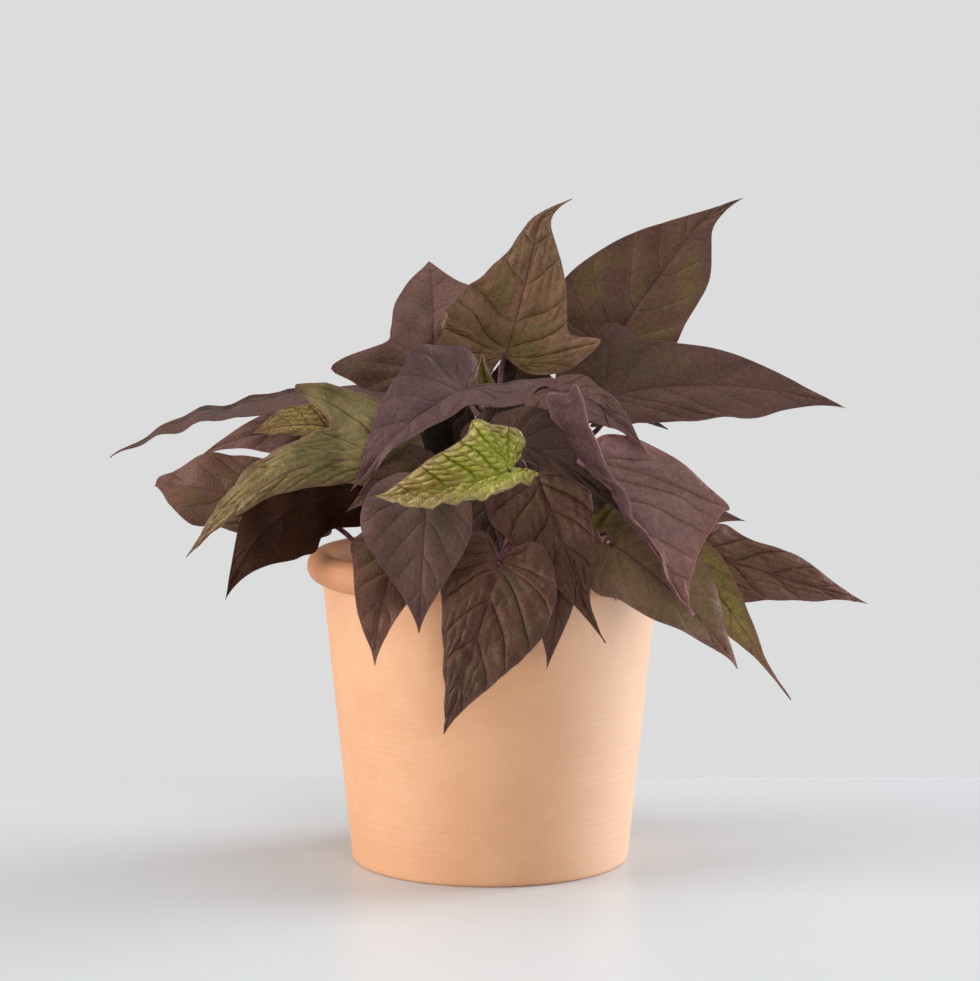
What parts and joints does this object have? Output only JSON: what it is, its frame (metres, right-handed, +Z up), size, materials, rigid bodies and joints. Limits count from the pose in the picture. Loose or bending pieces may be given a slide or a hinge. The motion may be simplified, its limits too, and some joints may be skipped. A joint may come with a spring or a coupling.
{
  "type": "potted sweet potato vine",
  "caption": "Bushy sweet potato vine with dark purple, olive and lime lobed leaves on trailing stems, in a tapered terracotta pot with a rolled rim.",
  "frame": {"origin": "on the surface the pot stands on, at the centre of its foot, which is within about 2 mm of the middle of the plant's box", "axes": "+Z up out of the pot, -Y towards the side the plant shows best, +X to the right seen from there, along the plant's widest spread"},
  "size_m": [0.3382, 0.2458, 0.2981],
  "materials": {
    "terracotta": "matte",
    "potting_mix": "matte",
    "stem_skin": "matte",
    "leaf_purple": "matte",
    "leaf_olive": "matte",
    "leaf_lime": "matte",
    "leaf_tan": "matte"
  },
  "bodies": {
    "root": {"pot": "terracotta", "soil": "potting_mix", "stem_left": "stem_skin", "stem_front_left": "stem_skin", "stem_front": "stem_skin", "stem_right": "stem_skin", "stem_upright": "stem_skin", "stem_back_right": "stem_skin", "stem_back_left": "stem_skin", "stem_back": "stem_skin", "leaf_top_left": "leaf_purple", "leaf_top_center": "leaf_olive", "leaf_front_purple": "leaf_purple", "leaf_right_top": "leaf_olive", "leaf_right_long": "leaf_purple", "leaf_left_long": "leaf_purple", "leaf_green_left": "leaf_olive", "leaf_small_tan": "leaf_tan", "leaf_left_back": "leaf_purple", "leaf_left_lower": "leaf_purple", "leaf_left_under": "leaf_purple", "leaf_front_left_low": "leaf_purple", "leaf_front_left": "leaf_purple", "leaf_front_center": "leaf_purple", "leaf_center_hanging": "leaf_purple", "leaf_center_low": "leaf_purple", "leaf_lime": "leaf_lime", "leaf_right_big": "leaf_purple", "leaf_shadow": "leaf_purple", "leaf_brown": "leaf_purple", "leaf_right_mid": "leaf_purple", "leaf_right_small": "leaf_purple", "leaf_right_olive": "leaf_olive", "leaf_right_low": "leaf_olive", "leaf_inner_center": "leaf_purple", "leaf_inner_left": "leaf_olive", "leaf_inner_low": "leaf_purple", "leaf_inner_top": "leaf_purple", "leaf_inner_right": "leaf_purple", "leaf_inner_left_low": "leaf_purple", "leaf_right_dark": "leaf_purple", "leaf_right_inner": "leaf_purple", "leaf_low_green": "leaf_olive", "leaf_shoot_left": "leaf_lime", "leaf_shoot_right": "leaf_lime", "leaf_back_left_high": "leaf_purple", "leaf_back_left": "leaf_purple", "leaf_back_left_low": "leaf_purple", "leaf_back_middle": "leaf_olive", "leaf_back_right_high": "leaf_purple", "leaf_back_right": "leaf_purple", "leaf_back_low_left": "leaf_purple", "leaf_back_low_middle": "leaf_purple", "leaf_back_low_right": "leaf_purple"}
  },
  "joints": []
}
